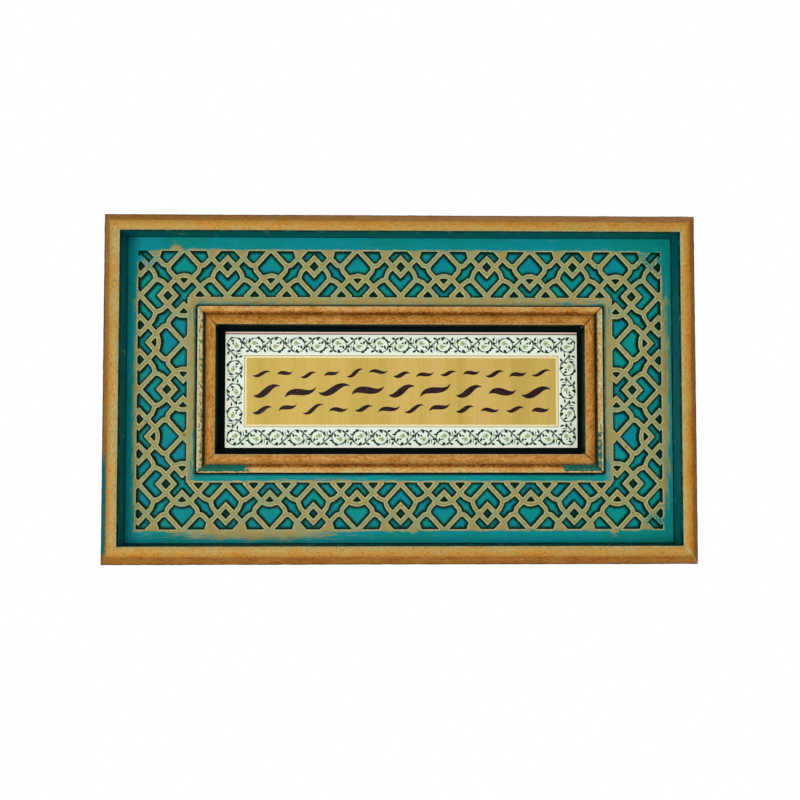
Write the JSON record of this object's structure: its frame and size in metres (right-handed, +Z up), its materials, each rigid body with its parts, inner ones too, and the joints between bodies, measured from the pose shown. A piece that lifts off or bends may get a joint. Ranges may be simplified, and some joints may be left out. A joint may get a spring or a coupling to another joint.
{
  "type": "geometric lattice panel",
  "caption": "Wall panel: a pierced sheet of interlaced straps in a deep painted wood frame, round a small inner frame with a recessed printed plaque.",
  "frame": {"origin": "centre of the panel's flat back, on the backing board's rear face", "axes": "+Z up, +X to the viewer's right, +Y into the wall, so the front faces -Y"},
  "size_m": [0.5, 0.05, 0.295],
  "materials": {
    "outer_gold": "gold wax rubbed over teal paint, satin, teal on the inner walls and where it is worn",
    "inner_gold": "gold wax over teal paint with brown specks, satin",
    "lattice_paint": "teal paint with dry-brushed pale gold on the straps",
    "ground_teal": "teal paint, eggshell",
    "bare_board": "bare hardboard",
    "plaque_print": "printed plate, brushed gold field, white border with green vine"
  },
  "bodies": {
    "root": {"outer_rail_top": "outer_gold", "outer_rail_bottom": "outer_gold", "outer_rail_left": "outer_gold", "outer_rail_right": "outer_gold", "inner_rail_top": "inner_gold", "inner_rail_bottom": "inner_gold", "inner_rail_left": "inner_gold", "inner_rail_right": "inner_gold", "lattice_sheet": "lattice_paint", "ground_board": "ground_teal", "backing_board": "bare_board", "plaque": "plaque_print"}
  },
  "joints": []
}
